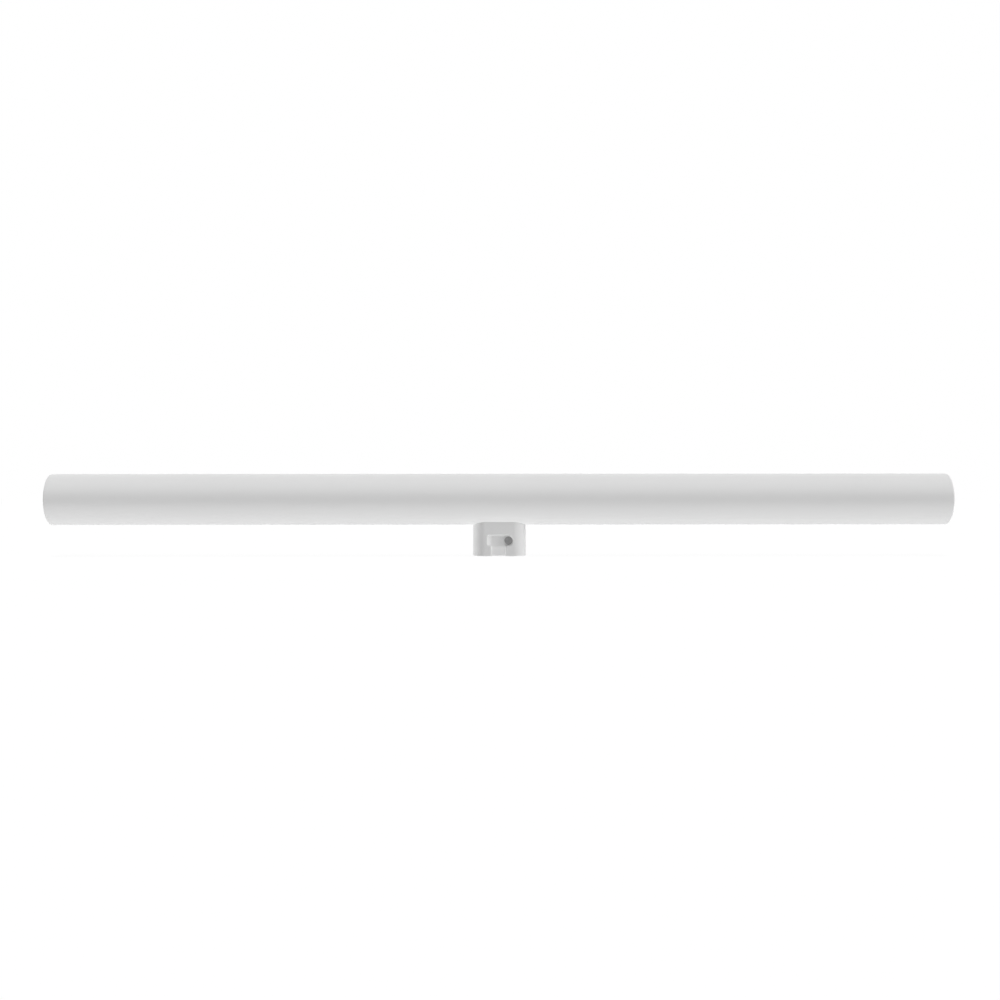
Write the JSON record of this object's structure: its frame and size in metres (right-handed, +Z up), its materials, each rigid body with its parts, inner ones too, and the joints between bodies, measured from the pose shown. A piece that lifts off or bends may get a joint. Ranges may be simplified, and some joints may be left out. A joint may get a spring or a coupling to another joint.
{
  "type": "tubular light bulb",
  "caption": "Straight opal tube lamp with flat closed ends, held by a small oblong cap under the middle of the tube, with a slot and a round metal contact in each broad side.",
  "frame": {"origin": "middle of the cap's seat face, under the middle of the tube", "axes": "+X along the tube, towards the contact end of the cap's slots; +Z up from the seat face to the tube; -Y is the front, the side seen in the picture"},
  "size_m": [0.5, 0.0284, 0.0458],
  "materials": {
    "opal_plastic": "satin opal white",
    "cap_plastic": "moulded satin white",
    "contact_metal": "dull dark nickel"
  },
  "bodies": {
    "root": {"opal_tube": "opal_plastic", "lamp_cap": "cap_plastic", "front_contact": "contact_metal", "rear_contact": "contact_metal"}
  },
  "joints": []
}
